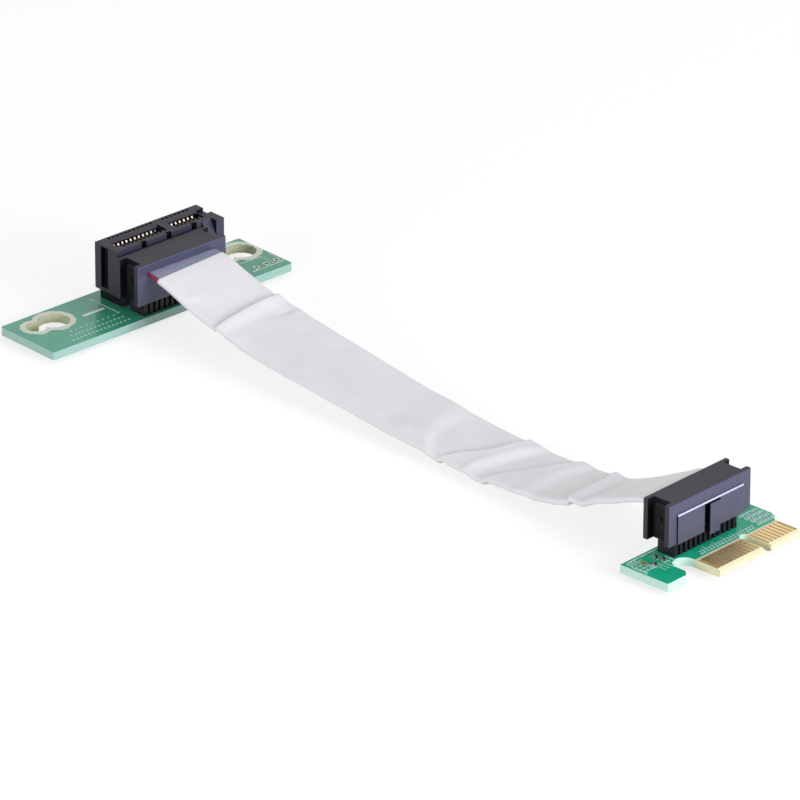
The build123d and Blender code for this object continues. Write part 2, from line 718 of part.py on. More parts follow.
def arc_radii(points):
    """Largest even arc at each inner point, from its shorter run and its turn."""
    radii = []
    for before, here, after in zip(points, points[1:], points[2:]):
        first = Vector(here[0] - before[0], here[1] - before[1])
        second = Vector(after[0] - here[0], after[1] - here[1])
        turn = math.radians(first.get_angle(second))
        shorter = min(first.length, second.length)
        radii.append(BEND_SHARE * shorter / math.tan(turn / 2))
    return radii


def side_band(thickness):
    route = side_route()
    line = FilletPolyline(*route, radius=arc_radii(route))
    section = Rectangle(WORK_SPAN, thickness)
    path = Plane.XZ * line
    start = Plane(origin=path @ 0, x_dir=(0, 1, 0), z_dir=path % 0)
    return sweep(start * section, path=path)


def plan_band(left, right):
    """Flat region between two distances from the centre line, seen from above."""
    route = plan_route()
    line = FilletPolyline(*route, radius=arc_radii(route))
    middle = (left + right) / 2
    section = Rectangle(right - left, WORK_SPAN)
    start = Plane(origin=line @ 0, x_dir=(0, 1, 0), z_dir=line % 0)
    return sweep(start * Pos(middle, 0, 0) * section, path=line)


def ribbon_piece(left, right):
    return side_band(RIBBON_THICKNESS) & plan_band(left, right)


def shield_wrap():
    start, end = plug_mouths()
    half = RIBBON_WIDTH / 2 + WRAP_THICKNESS
    outer = side_band(RIBBON_THICKNESS + 2 * WRAP_THICKNESS) & plan_band(-half, half)
    first = Polyline(
        (start.X + WRAP_START, start.Y - half),
        (start.X + WRAP_START - WRAP_SKEW, start.Y + half),
        (start.X + WRAP_START - WRAP_SKEW, WORK_SPAN),
        (WORK_SPAN, WORK_SPAN),
        (WORK_SPAN, -WORK_SPAN),
        (start.X + WRAP_START, -WORK_SPAN),
        close=True,
    )
    beyond_start = extrude(make_face(first), WORK_SPAN)
    reach = PLUG_FRONT + WRAP_END_GAP
    before_end = EDGE_PLUG_PLACE * block(reach, WORK_SPAN, -WORK_SPAN, WORK_SPAN, 0, WORK_SPAN)
    return (outer & beyond_start & before_end) - ribbon_piece(-RIBBON_WIDTH / 2, RIBBON_WIDTH / 2)


def build():
    half = RIBBON_WIDTH / 2
    object_nodes = {
        "slot_board": slot_board(),
        "slot_board_mounting_rings": mounting_rings(),
        "slot_board_power_pads": power_pads(),
        "card_socket_housing": socket_housing(),
        "card_socket_contacts_front": socket_contacts(1),
        "card_socket_contacts_back": socket_contacts(-1),
        "slot_header_base": SLOT_PLUG_PLACE * header_base(),
        "slot_header_pins": SLOT_PLUG_PLACE * header_pins(),
        "slot_plug_body": SLOT_PLUG_PLACE * plug_body(),
        "slot_plug_cover": SLOT_PLUG_PLACE * plug_cover(),
        "edge_board": edge_board(),
        "edge_fingers_top": edge_fingers(BOARD_TOP),
        "edge_fingers_bottom": edge_fingers(BOARD_BOTTOM - PAD_THICKNESS),
        "edge_header_base": EDGE_PLUG_PLACE * header_base(),
        "edge_header_pins": EDGE_PLUG_PLACE * header_pins(),
        "edge_plug_body": EDGE_PLUG_PLACE * plug_body(),
        "edge_plug_cover": EDGE_PLUG_PLACE * plug_cover(),
        "chip_resistor_bodies": chip_bodies(),
        "chip_resistor_terminals": chip_terminals(),
    }
    cord_nodes = {
        "ribbon_grey_cores": ribbon_piece(CORE_PITCH - half, half),
        "ribbon_red_core": ribbon_piece(-half, CORE_PITCH - half),
        "ribbon_shield_wrap": shield_wrap(),
    }
    return object_nodes, cord_nodes


def origin_shift(object_nodes):
    """Move that puts the middle of the object's footprint, without its ribbon, at x = y = 0."""
    boxes = [shape.bounding_box() for shape in object_nodes.values()]
    middle_x = (min(b.min.X for b in boxes) + max(b.max.X for b in boxes)) / 2
    middle_y = (min(b.min.Y for b in boxes) + max(b.max.Y for b in boxes)) / 2
    return Pos(-middle_x, -middle_y, -min(b.min.Z for b in boxes))


object_nodes, cord_nodes = build()
shift = origin_shift(object_nodes)
for name, shape in {**object_nodes, **cord_nodes}.items():
    export_step(shift * shape, f"parts/{name}.step")

route = side_route()
print("shift", [round(v, 4) for v in shift.position])
print("side radii", [round(r, 1) for r in arc_radii(route)])
print("plan radii", [round(r, 1) for r in arc_radii(plan_route())])
route_length = FilletPolyline(*route, radius=arc_radii(route)).length
section = RIBBON_WIDTH * RIBBON_THICKNESS
volume = cord_nodes["ribbon_grey_cores"].volume + cord_nodes["ribbon_red_core"].volume
print("ribbon length", round(route_length, 2), "section x length", round(section * route_length, 1))
print("ribbon volume", round(volume, 1))
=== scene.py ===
# %% [markdown]
# A ribbon riser joins a card socket to a gold-fingered edge board with a flat cable in a bright
# shielding sleeve. The rigid pieces come from the measured frame. This script adds the cable,
# the finish of every surface and the fine trim on the two boards.

import math

import bmesh
import bpy
from mathutils import Matrix, Vector, noise


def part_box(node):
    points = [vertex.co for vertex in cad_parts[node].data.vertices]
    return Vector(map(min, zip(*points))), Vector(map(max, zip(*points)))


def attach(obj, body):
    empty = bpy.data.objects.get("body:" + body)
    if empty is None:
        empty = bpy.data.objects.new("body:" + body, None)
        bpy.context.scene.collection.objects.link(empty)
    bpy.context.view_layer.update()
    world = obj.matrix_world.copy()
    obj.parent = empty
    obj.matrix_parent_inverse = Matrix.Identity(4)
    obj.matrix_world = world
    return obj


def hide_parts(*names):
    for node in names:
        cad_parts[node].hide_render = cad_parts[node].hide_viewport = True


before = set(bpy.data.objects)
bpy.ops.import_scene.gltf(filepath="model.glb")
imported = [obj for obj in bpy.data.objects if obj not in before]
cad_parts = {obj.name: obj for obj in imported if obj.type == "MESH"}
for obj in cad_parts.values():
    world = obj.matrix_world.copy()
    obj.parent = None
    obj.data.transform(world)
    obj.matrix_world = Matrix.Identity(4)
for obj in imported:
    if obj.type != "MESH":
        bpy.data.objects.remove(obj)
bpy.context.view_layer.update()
scene = bpy.context.scene
print("frame nodes", len(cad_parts))

# %% [markdown]
# Everything is placed from two flat frames, one lying on each board. A frame is a matrix that turns
# millimetres measured on the board into metres in the room, so a trace or a pad is written where
# a ruler would read it. The slot board's frame starts on its front edge, near the middle, and the
# edge board's frame starts at the tip of its tongue, turned a little as the board lies in the photo.

# %% Board frames
MM = 0.001
SLOT_BOARD_LEFT = 33.2
EDGE_TIP = (143.0, 6.95)
EDGE_TURN = math.radians(4.5)
BOARD_BOTTOM = 1.0
BOARD_TOP = 2.6

slot_low, slot_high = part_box("slot_board")
slot_frame = Matrix.Translation((slot_high.x, slot_low.y + SLOT_BOARD_LEFT * MM, 0)) @ Matrix.Scale(MM, 4)
edge_frame = slot_frame @ Matrix.Translation((*EDGE_TIP, 0)) @ Matrix.Rotation(EDGE_TURN, 4, "Z")
print("slot frame at", [round(v, 4) for v in slot_frame.translation])
print("edge frame at", [round(v, 4) for v in edge_frame.translation])

# %% [markdown]
# The camera comes first. The photo was taken with a long lens from the front right and above,
# so lines that run away from the viewer stay almost parallel. The place, the angles and the lens
# were fitted to the contacts of both boards.

# %% Camera
CAMERA_PLACE = (1062.75, -928.18, 654.45)
CAMERA_AZIMUTH = math.radians(47.309)
CAMERA_ELEVATION = math.radians(25.471)
CAMERA_ROLL = math.radians(0.142)
LENS = 380.66
SENSOR_WIDTH = 36

back = Vector((
    math.sin(CAMERA_AZIMUTH) * math.cos(CAMERA_ELEVATION),
    -math.cos(CAMERA_AZIMUTH) * math.cos(CAMERA_ELEVATION),
    math.sin(CAMERA_ELEVATION),
))
right = (-back).cross(Vector((0, 0, 1))).normalized()
turn = Matrix((right, back.cross(right), back)).transposed() @ Matrix.Rotation(CAMERA_ROLL, 3, "Z")
camera_data = bpy.data.cameras.new("camera")
camera_data.sensor_width = SENSOR_WIDTH
camera_data.lens = LENS
camera = bpy.data.objects.new("camera", camera_data)
camera.matrix_world = Matrix.Translation(slot_frame @ Vector(CAMERA_PLACE)) @ turn.to_4x4()
scene.collection.objects.link(camera)
scene.camera = camera
print("camera at", [round(v, 3) for v in camera.location])

# %% [markdown]
# Every finish is a small tree of shader nodes. One helper adds a node, sets its options and links
# its sockets, and one function turns the hex colours that a designer reads off a screen into the
# linear values that the renderer works in.

# %% Shader helpers
def colour(text):
    """Linear red, green, blue and alpha of an sRGB hex colour."""
    parts = [int(text[i:i + 2], 16) / 255 for i in (1, 3, 5)]
    return tuple(c / 12.92 if c <= 0.04045 else ((c + 0.055) / 1.055) ** 2.4 for c in parts) + (1,)


def node(tree, kind, options=None, inputs=None):
    """Adds one node with its options, and its inputs as values or links."""
    made = tree.nodes.new(kind)
    for key, value in (options or {}).items():
        setattr(made, key, value)
    for key, value in (inputs or {}).items():
        if isinstance(value, bpy.types.NodeSocket):
            tree.links.new(value, made.inputs[key])
        else:
            made.inputs[key].default_value = value
    return made


def material(name, **settings):
    """A named material and the main shader in it, with the shader's own sockets set."""
    made = bpy.data.materials.new(name)
    made.use_nodes = True
    shader = made.node_tree.nodes["Principled BSDF"]
    for key, value in settings.items():
        shader.inputs[key.replace("_", " ")].default_value = value
    return made, made.node_tree, shader


def cloudy(tree, vector, scale, dark, light, detail=3.0):
    """A colour that wavers between two hex values, with so many clouds to one unit of the vector."""
    cloud = node(tree, "ShaderNodeTexNoise", None, {"Vector": vector, "Scale": scale, "Detail": detail})
    tint = node(tree, "ShaderNodeMix", {"data_type": "RGBA"}, {
        "Factor": cloud.outputs["Fac"], "A": colour(dark), "B": colour(light)})
    return tint.outputs["Result"]


def cloudy_material(name, scale, dark, light, space="Object", **settings):
    """A material with one cloudy colour: clouds to a metre, or to a millimetre where space is UV."""
    made, tree, shader = material(name, **settings)
    spots = node(tree, "ShaderNodeTexCoord")
    tree.links.new(cloudy(tree, spots.outputs[space], scale, dark, light), shader.inputs["Base Color"])
    return made


def dress(piece, finish):
    """Gives a CAD piece its finish in place of the plain one."""
    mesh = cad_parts[piece].data
    mesh.materials.clear()
    mesh.materials.append(finish)


# %% [markdown]
# The object lies in an even, bright room. The floor is matt white paint and keeps a soft shadow. Seen
# by the camera, mirrored or through glass, floor and room are lifted to white, and for the light
# that they throw on the object they stay plain. A large soft lamp stands low beyond the edge board,
# so that it rakes along the cable over the creases of the sleeve. A second one hangs high behind the
# right end, and a third one in front brightens the near edge of the sleeve.

# %% Floor, room and lamps
FLOOR_SIZE = 4.0
FLOOR_LIFT = 0.76
ROOM_LIGHT = 0.31
LAMP_DISTANCE = 1.1

scene.view_settings.view_transform = "Standard"


def looked_at(tree):
    """One for a ray that shows a surface to the camera, straight, mirrored or through glass."""
    rays = node(tree, "ShaderNodeLightPath")
    seen = rays.outputs["Is Camera Ray"]
    for kind in ("Is Glossy Ray", "Is Transmission Ray"):
        either = node(tree, "ShaderNodeMath", {"operation": "MAXIMUM"}, {0: seen, 1: rays.outputs[kind]})
        seen = either.outputs[0]
    return seen


floor_finish = bpy.data.materials.new("matt_white_floor")
floor_finish.use_nodes = True
tree = floor_finish.node_tree
tree.nodes.clear()
plain = node(tree, "ShaderNodeBsdfDiffuse", None, {"Color": colour("#e6e6e6")})
shaded = node(tree, "ShaderNodeBsdfDiffuse", None, {"Color": colour("#9c9c9c")})
lift = node(tree, "ShaderNodeEmission", None, {"Color": colour("#ffffff"), "Strength": FLOOR_LIFT})
lifted = node(tree, "ShaderNodeAddShader", None, {0: shaded.outputs[0], 1: lift.outputs[0]})
mixed = node(tree, "ShaderNodeMixShader", None, {
    0: looked_at(tree), 1: plain.outputs[0], 2: lifted.outputs[0]})
node(tree, "ShaderNodeOutputMaterial", None, {"Surface": mixed.outputs[0]})

bm = bmesh.new()
bmesh.ops.create_grid(bm, x_segments=1, y_segments=1, size=FLOOR_SIZE / 2)
floor_mesh = bpy.data.meshes.new("floor")
bm.to_mesh(floor_mesh)
bm.free()
floor_mesh.materials.append(floor_finish)
floor = bpy.data.objects.new("floor", floor_mesh)
scene.collection.objects.link(floor)

world = bpy.data.worlds.new("room")
scene.world = world
world.use_nodes = True
tree = world.node_tree
tree.nodes.clear()
level = node(tree, "ShaderNodeMapRange", None, {
    "Value": looked_at(tree), "To Min": ROOM_LIGHT, "To Max": 1.0})
sky = node(tree, "ShaderNodeBackground", None, {"Color": colour("#ffffff"), "Strength": level.outputs[0]})
node(tree, "ShaderNodeOutputWorld", None, {"Surface": sky.outputs[0]})


def lamp(name, azimuth, elevation, size, power, tint):
    """A square soft lamp that points at the middle of the object: degrees, metres and watts."""
    data = bpy.data.lights.new(name, "AREA")
    data.size = size
    data.energy = power
    data.color = colour(tint)[:3]
    turned = math.radians(azimuth)
    raised = math.radians(elevation)
    level_reach = math.cos(raised)
    way = Vector((math.sin(turned) * level_reach, -math.cos(turned) * level_reach, math.sin(raised)))
    facing = way.to_track_quat("Z", "Y").to_matrix().to_4x4()
    made = bpy.data.objects.new(name, data)
    made.matrix_world = Matrix.Translation(way * LAMP_DISTANCE) @ facing
    scene.collection.objects.link(made)
    print("lamp", name, power, "W")


lamp("side_lamp", azimuth=98, elevation=17, size=0.45, power=9.5, tint="#fbfbff")
lamp("back_lamp", azimuth=145, elevation=48, size=0.6, power=2.6, tint="#ffffff")
lamp("front_lamp", azimuth=8, elevation=13, size=0.6, power=6.0, tint="#ffffff")

# %% [markdown]
# The cable is a flat ribbon of 26 cores inside a sleeve of metal-coated cloth. Its route is one
# smooth spline, whose control points are the corners of the measured model's route: straight out of
# the slot board's plug, down, along just over the table and up into the other plug. The spline has
# no bevel. It is only read, and both the ribbon and the sleeve are swept along what it gives.

# %% Ribbon route
ROUTE = [
    (-0.00120, -0.00265, 0.01140),
    (0.00190, -0.00265, 0.01140),
    (0.00751, -0.00265, 0.00985),
    (0.01466, -0.00265, 0.00770),
    (0.02649, -0.00265, 0.00595),
    (0.04495, -0.00265, 0.00435),
    (0.06795, -0.00265, 0.00255),
    (0.08602, -0.00265, 0.00160),
    (0.09954, -0.00265, 0.00230),
    (0.10955, -0.00205, 0.00385),
    (0.11722, -0.00145, 0.00660),
    (0.12359, -0.00095, 0.00955),
    (0.12739, -0.00065, 0.01140),
    (0.13099, -0.00036, 0.01140),
]
ROUTE_STEPS = 48

curve = bpy.data.curves.new("ribbon_route", "CURVE")
curve.dimensions = "3D"
curve.resolution_u = ROUTE_STEPS
spline = curve.splines.new("NURBS")
spline.points.add(len(ROUTE) - 1)
for point, (x, y, z) in zip(spline.points, ROUTE):
    point.co = (*(slot_frame.translation + Vector((x, y, z))), 1)
spline.order_u = 3
spline.use_endpoint_u = True
route = bpy.data.objects.new("ribbon_route", curve)
scene.collection.objects.link(route)
read = bpy.data.meshes.new_from_object(route)
path = [vert.co.copy() for vert in read.vertices]
bpy.data.objects.remove(route)
run = [0.0]
for before, here in zip(path, path[1:]):
    run.append(run[-1] + (here - before).length / MM)
RIBBON_RUN = run[-1]
print("ribbon length", round(RIBBON_RUN, 2), "mm in", len(path), "points")

# %% [markdown]
# At each distance along the route the ribbon has a middle, a direction across and a direction
# up. It also leans a little to one side or the other, because it was once folded: the lean is
# zero in both plugs and reaches six degrees where the ribbon climbs to the edge board. The list
# below gives the lean in degrees at distances in millimetres.

# %% Ribbon frame
LEAN = [(0, 0), (8, 0), (16, -1.5), (28, -3), (41, -0.5), (61, 2.6), (81, 1.8), (96, 0), (106, 3.6),
        (113, 6), (123, 5), (130, 1.5), (133, 0), (136, 0)]
SOFTENING = (-3, -1.5, 0, 1.5, 3)
LOOK_AHEAD = 0.4


def between(pairs, at):
    """Value at a place in a list of (place, value), in straight lines."""
    for (x0, y0), (x1, y1) in zip(pairs, pairs[1:]):
        if at <= x1:
            return y0 + (y1 - y0) * max(at - x0, 0) / (x1 - x0)
    return pairs[-1][1]


def smooth_between(pairs, at):
    """The same with soft corners."""
    return sum(between(pairs, at + off) for off in SOFTENING) / len(SOFTENING)


def on_path(at):
    """Middle of the ribbon at a distance in mm."""
    at = min(max(at, 0), RIBBON_RUN)
    low, high = 0, len(run) - 1
    while high - low > 1:
        mid = (low + high) // 2
        if run[mid] <= at:
            low = mid
        else:
            high = mid
    share = (at - run[low]) / (run[high] - run[low])
    return path[low].lerp(path[high], share)


def ribbon_axes(at):
    """Middle, direction across towards +y, and direction up, at a distance in mm."""
    ahead = (on_path(at + LOOK_AHEAD) - on_path(at - LOOK_AHEAD)).normalized()
    level = Vector((0, 0, 1)).cross(ahead).normalized()
    across = Matrix.Rotation(-math.radians(smooth_between(LEAN, at)), 3, ahead) @ level
    return on_path(at), across, ahead.cross(across)


print("axes at the middle", [[round(c, 3) for c in v] for v in ribbon_axes(RIBBON_RUN / 2)])

# %% [markdown]
# The ribbon and the sleeve are each one sheet rolled into a flat tube. A grid is laid out with its
# columns round the section and its rows along the route, each vertex is moved to its place, and
# the seam is merged. The grid's own coordinates become the UV map in millimetres, so that a
# pattern follows the surface wherever it bends.

# %% Sweep helper
SEAM_GAP = 1e-7


def swept(columns, rows, length, section, place):
    """A flat tube: section(i) gives the place round it and place(along, spot) the point in space."""
    made = bmesh.new()
    bmesh.ops.create_grid(made, x_segments=columns, y_segments=rows, size=1)
    uv = made.loops.layers.uv.new("UVMap")
    for face in made.faces:
        for loop in face.loops:
            i = round((loop.vert.co.x + 1) / 2 * columns)
            loop[uv].uv = (section(i)[0], (loop.vert.co.y + 1) / 2 * length)
    for vert in made.verts:
        i = round((vert.co.x + 1) / 2 * columns)
        vert.co = place((vert.co.y + 1) / 2, section(i % columns))
    bmesh.ops.remove_doubles(made, verts=made.verts, dist=SEAM_GAP)
    return made


def add_piece(name, made, slot, *finishes, smooth=False):
    """Turns a bmesh into a piece that rides with the boards."""
    mesh = bpy.data.meshes.new(name)
    made.to_mesh(mesh)
    made.free()
    for finish in finishes:
        mesh.materials.append(finish)
    mesh.polygons.foreach_set("use_smooth", [smooth] * len(mesh.polygons))
    piece = bpy.data.objects.new(name, mesh)
    scene.collection.objects.link(piece)
    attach(piece, "root")
    print(name, len(mesh.polygons), "faces")
    return piece


# %% [markdown]
# The flat cable was folded for packing, and it keeps sharp creases where it was bent. A crease is a
# line across the cable where the surface steps up within a millimetre, stays level for a little and
# then falls away over three or four. Each line below has its height at the near edge and at the
# far one, its distance from the route's start at five places across, and a shift along the route,
# which puts the top of a step behind its foot. A dent has its place along and across, its reach
# each way and its height. The near edge was also pressed down over most of the route. The ribbon
# and the sleeve follow the same folds, which keeps the ribbon inside. At a few of the steepest
# steps single ridges of it still reach through the underside, by less than a tenth of a millimetre.

# %% Folds of the cable
RIBBON_WIDTH = 16.5
ACROSS = (-8.5, -4.0, 0.0, 4.0, 8.5)
STEP = 0.55
LEAST_STEP = 0.05
CREASES = [
    ((0.00, 0.00), (10.5, 12.0, 12.5, 12.5, 12.0), 0),
    ((-0.20, -0.20), (20.5, 19.8, 19.3, 18.9, 18.8), 0),
    ((0.50, 0.62), (20.5, 19.8, 19.3, 18.9, 18.8), STEP),
    ((0.00, 0.00), (24.0, 24.0, 23.6, 23.2, 23.0), 0),
    ((0.00, 0.00), (65, 63, 62, 61, 61), 0),
    ((0.42, 0.16), (76.4, 72.2, 70.4, 69, 67), 0),
    ((-0.16, -0.16), (79.6, 75.7, 74.3, 73.6, 73.1), 0),
    ((-0.18, -0.18), (80.0, 83.0, 84.9, 85.6, 86.1), 0),
    ((0.70, 0.74), (80.0, 83.0, 84.9, 85.6, 86.1), STEP),
    ((0.56, 0.64), (86.8, 87.0, 87.4, 88.2, 89.2), 0),
    ((-0.16, -0.16), (90.2, 90.4, 90.8, 91.6, 93.1), 0),
    ((-0.24, -0.24), (91.7, 94.1, 96.1, 98.1, 100.1), 0),
    ((0.66, 0.74), (91.7, 94.1, 96.1, 98.1, 100.1), STEP),
    ((0.50, 0.60), (101.6, 100.8, 100.2, 100.6, 101.4), 0),
    ((-0.16, -0.10), (104.6, 104.2, 103.7, 103.6, 104.6), 0),
    ((-0.14, -0.14), (112.4, 111.6, 110.5, 109.4, 108.2), 0),
    ((0.66, 0.72), (112.4, 111.6, 110.5, 109.4, 108.2), STEP),
    ((-0.36, -0.30), (116.0, 115.0, 113.8, 112.8, 111.8), 0),
    ((0.30, 0.20), (118.9, 119.9, 120.5, 120.9, 121.3), 0),
    ((0.00, 0.00), (124, 126, 127, 128, 128), 0),
]
CREASE_DEPTH = 1.22
DENTS = [
    ((11.6, -6.2), (1.0, 1.6), 0.16),
    ((24.4, 5.4), (1.0, 2.4), -0.26),
    ((25.8, 7.2), (0.8, 1.4), 0.20),
    ((68.6, -6.0), (1.4, 1.6), 0.14),
    ((64.1, -6.2), (1.6, 1.2), -0.12),
    ((87.1, -7.2), (0.9, 2.2), 0.26),
    ((96.6, -7.6), (0.9, 1.2), 0.22),
    ((109.1, -7.9), (1.0, 1.0), -0.20),
]
EDGE_FADE = 0.4
EDGE_BAND = (4.5, 8.0)
PRESSED_DEPTH = 0.5
PRESSED_BAND = (-5.0, -8.0)
PRESSED_FROM = (23, 33)
PRESSED_TO = (95, 83)
RIPPLE_HEIGHT = 0.12
RIPPLE_ALONG = 0.16
RIPPLE_ACROSS = 0.22
RIPPLE_LAYER = 3.1
FOLDS_FROM = (6, 10)
FOLDS_TO = (RIBBON_RUN - 5, RIBBON_RUN - 9)


def ramp(value, start, end):
    """Zero up to the start and one past the end, with soft ends."""
    share = min(max((value - start) / (end - start), 0), 1)
    return share * share * (3 - 2 * share)


def crease_height(at, across):
    """Height of the creased surface over its flat shape, in mm.

    A line that would lie behind the one before it is put just past it.
    """
    before = None
    for heights, places, shift in CREASES:
        place = between(list(zip(ACROSS, places)), across) + shift
        height = heights[0] + (heights[1] - heights[0]) * (across / RIBBON_WIDTH + 0.5)
        height *= CREASE_DEPTH
        if before and place <= before[0]:
            place = before[0] + LEAST_STEP
        if at <= place:
            if before is None:
                return 0.0
            return before[1] + (height - before[1]) * ramp(at, before[0], place)
        before = (place, height)
    return 0.0


def dent(at, across, place, size, depth):
    """A shallow round dent."""
    reach = ((at - place[0]) / size[0]) ** 2 + ((across - place[1]) / size[1]) ** 2
    return depth * math.exp(-reach)


def fold(at, across):
    """How far the whole cable stands above its flat shape, in mm: none of it near the plugs."""
    height = crease_height(at, across) + sum(dent(at, across, *each) for each in DENTS)
    height *= 1 - EDGE_FADE * ramp(abs(across), *EDGE_BAND)
    height -= PRESSED_DEPTH * ramp(across, *PRESSED_BAND) * ramp(at, *PRESSED_FROM) * ramp(at, *PRESSED_TO)
    height += RIPPLE_HEIGHT * noise.noise(Vector((at * RIPPLE_ALONG, across * RIPPLE_ACROSS, RIPPLE_LAYER)))
    return height * ramp(at, *FOLDS_FROM) * ramp(at, *FOLDS_TO)


print(len(CREASES), "crease lines and", len(DENTS), "dents")

# %% [markdown]
# The ribbon's insulation is extruded PVC, half matt, in grey with a lilac cast, and its first core is
# printed red. PVC has an IOR near 1.53. It shows only in the short bare stretch at each plug,
# where the round tops of the cores catch the light as fine lines. Its clouds are about 1 mm wide.

# %% Ribbon finishes
grey_pvc = cloudy_material("grey_extruded_pvc", 0.9, "#868aa3", "#9ca0b8", "UV", Roughness=0.38, IOR=1.53)
red_pvc = cloudy_material("red_printed_pvc", 1.2, "#741f3c", "#93344f", "UV", Roughness=0.4, IOR=1.53)
print("ribbon finishes", grey_pvc.name, red_pvc.name)

# %% [markdown]
# The cores are drawn as a row of round ridges, four facets each, on the top and on the underside. The
# first core, on the -y edge, takes the red finish, and the two cut ends of the ribbon stay grey.

# %% Ribbon cores
CORES = 26
CORE_PITCH = 0.635
RIBBON_THICKNESS = 0.9
VALLEY = 0.16
FACETS = 4
RIBBON_ROWS = 300
half_width = CORES * CORE_PITCH / 2
half_thick = RIBBON_THICKNESS / 2
ridge_columns = CORES * FACETS


def ribbon_section(i):
    """Place across and height at one column: along the top, then back along the underside."""
    over = i <= ridge_columns
    step = i if over else 2 * ridge_columns - i
    phase = (step % FACETS) / FACETS
    height = half_thick - VALLEY * (1 - math.sin(math.pi * phase))
    across = -half_width + step * CORE_PITCH / FACETS
    if step in (0, ridge_columns):
        height = 0
    return across, height if over else -height


def ribbon_place(along, spot):
    """Point in space for a share of the route and a spot of the section."""
    at = along * RIBBON_RUN
    middle, across, up = ribbon_axes(at)
    return middle + (across * spot[0] + up * (spot[1] + fold(at, spot[0]))) * MM


made = swept(2 * ridge_columns, RIBBON_ROWS, RIBBON_RUN, ribbon_section, ribbon_place)
ends = [edge for edge in made.edges if edge.is_boundary]
bmesh.ops.holes_fill(made, edges=ends, sides=0)
bmesh.ops.recalc_face_normals(made, faces=made.faces)
uv = made.loops.layers.uv.active
for face in made.faces:
    middle = sum(loop[uv].uv.x for loop in face.loops) / len(face.loops)
    face.material_index = 1 if middle < CORE_PITCH - half_width and len(face.verts) == 4 else 0
cores = add_piece("ribbon_cores", made, "ribbon_grey", grey_pvc, red_pvc, smooth=True)
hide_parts("ribbon_grey_cores", "ribbon_red_core")

# %% [markdown]
# The sleeve is conductive cloth, a thin woven polyester coated with metal, which gives a soft silvery
# white with a satin gloss. Its section is a flat tube with rounded sides. It starts a little later
# on the left edge than on the right one. A little noise keeps its outline from being ruled
# straight, and its rows lie closer together than a crease is wide. The weave is far finer than the
# picture can show, so it is drawn as a faint relief of a third of a millimetre.

# %% Sleeve
WRAP_THICKNESS = 0.2
WRAP_START = 2.8
WRAP_SKEW = 1.0
GRIP_SLOT = 1.7
GRIP_EDGE = 1.3
WRAP_GAP = 0.5
CLOTH_THICKNESS = 0.15
TOP_COLUMNS = 48
SIDE_COLUMNS = 6
UNDER_COLUMNS = 24
SLEEVE_ROWS = 440
SWAY = 0.16
SWAY_ALONG = 0.11
SWAY_LAYER = 0.4
NEAR_EDGE_SWAY = 1.3
FAR_EDGE_SWAY = 7.7
CALM_STRETCH = 4
CLOTH_CLOUDS = 0.12
WEAVE_SCALE = 3.0
WEAVE_RELIEF = 0.1 * MM
wrap_half = half_width + WRAP_THICKNESS
wrap_high = half_thick + WRAP_THICKNESS


def sleeve_section(i):
    """Place across and height of the section at one column."""
    flat = wrap_half - wrap_high
    if i <= TOP_COLUMNS:
        return -flat + 2 * flat * i / TOP_COLUMNS, wrap_high
    i -= TOP_COLUMNS
    if i <= SIDE_COLUMNS:
        angle = math.pi * i / SIDE_COLUMNS
        return flat + wrap_high * math.sin(angle), wrap_high * math.cos(angle)
    i -= SIDE_COLUMNS
    if i <= UNDER_COLUMNS:
        return flat - 2 * flat * i / UNDER_COLUMNS, -wrap_high
    angle = math.pi * (i - UNDER_COLUMNS) / SIDE_COLUMNS
    return -flat - wrap_high * math.sin(angle), -wrap_high * math.cos(angle)


def sleeve_place(along, spot):
    """Point in space for a share of the sleeve's length and a spot of its section."""
    across, height = spot
    start = GRIP_SLOT + WRAP_START - WRAP_SKEW * (across + wrap_half) / (2 * wrap_half)
    end = RIBBON_RUN - GRIP_EDGE - WRAP_GAP
    at = start + (end - start) * along
    calm = ramp(at, start, start + CALM_STRETCH) * ramp(at, end, end - CALM_STRETCH)
    edge = FAR_EDGE_SWAY if across > 0 else NEAR_EDGE_SWAY
    sway = SWAY * calm * noise.noise(Vector((at * SWAY_ALONG, edge, SWAY_LAYER)))
    middle, way, up = ribbon_axes(at)
    return middle + (way * (across + sway) + up * (height + fold(at, across))) * MM


columns = TOP_COLUMNS + UNDER_COLUMNS + 2 * SIDE_COLUMNS
made = swept(columns, SLEEVE_ROWS, RIBBON_RUN, sleeve_section, sleeve_place)
bmesh.ops.recalc_face_normals(made, faces=made.faces)

cloth, tree, shader = material("metal_coated_shield_cloth", Roughness=0.36, IOR=1.5, Metallic=0.15)
spots = node(tree, "ShaderNodeTexCoord")
white = cloudy(tree, spots.outputs["UV"], CLOTH_CLOUDS, "#e6e3e8", "#eeecef", detail=4.0)
tree.links.new(white, shader.inputs["Base Color"])
weave = node(tree, "ShaderNodeTexNoise", None, {
    "Vector": spots.outputs["UV"], "Scale": WEAVE_SCALE, "Detail": 2.0})
relief = node(tree, "ShaderNodeBump", None, {
    "Height": weave.outputs["Fac"], "Strength": 0.08, "Distance": WEAVE_RELIEF})
tree.links.new(relief.outputs["Normal"], shader.inputs["Normal"])

sleeve = add_piece("ribbon_sleeve", made, "shield_cloth", cloth, smooth=True)
wall = sleeve.modifiers.new("cloth_thickness", "SOLIDIFY")
wall.thickness = CLOTH_THICKNESS * MM
wall.offset = -1
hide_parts("ribbon_shield_wrap")

# %% [markdown]
# The boards are glass fibre laminate under a green solder mask. From the side the laminate shows as
# a pale green in layers. The mask is a glossy lacquer, so it takes a clear coat that mirrors the
# white room. A Mapping node of the Texture kind turns the object's metres into the board's own
# millimetres, and rectangles there say where the laminate is bare. On the slot board the sawn
# walls inside the outline are khaki, because they are seen without the mask.

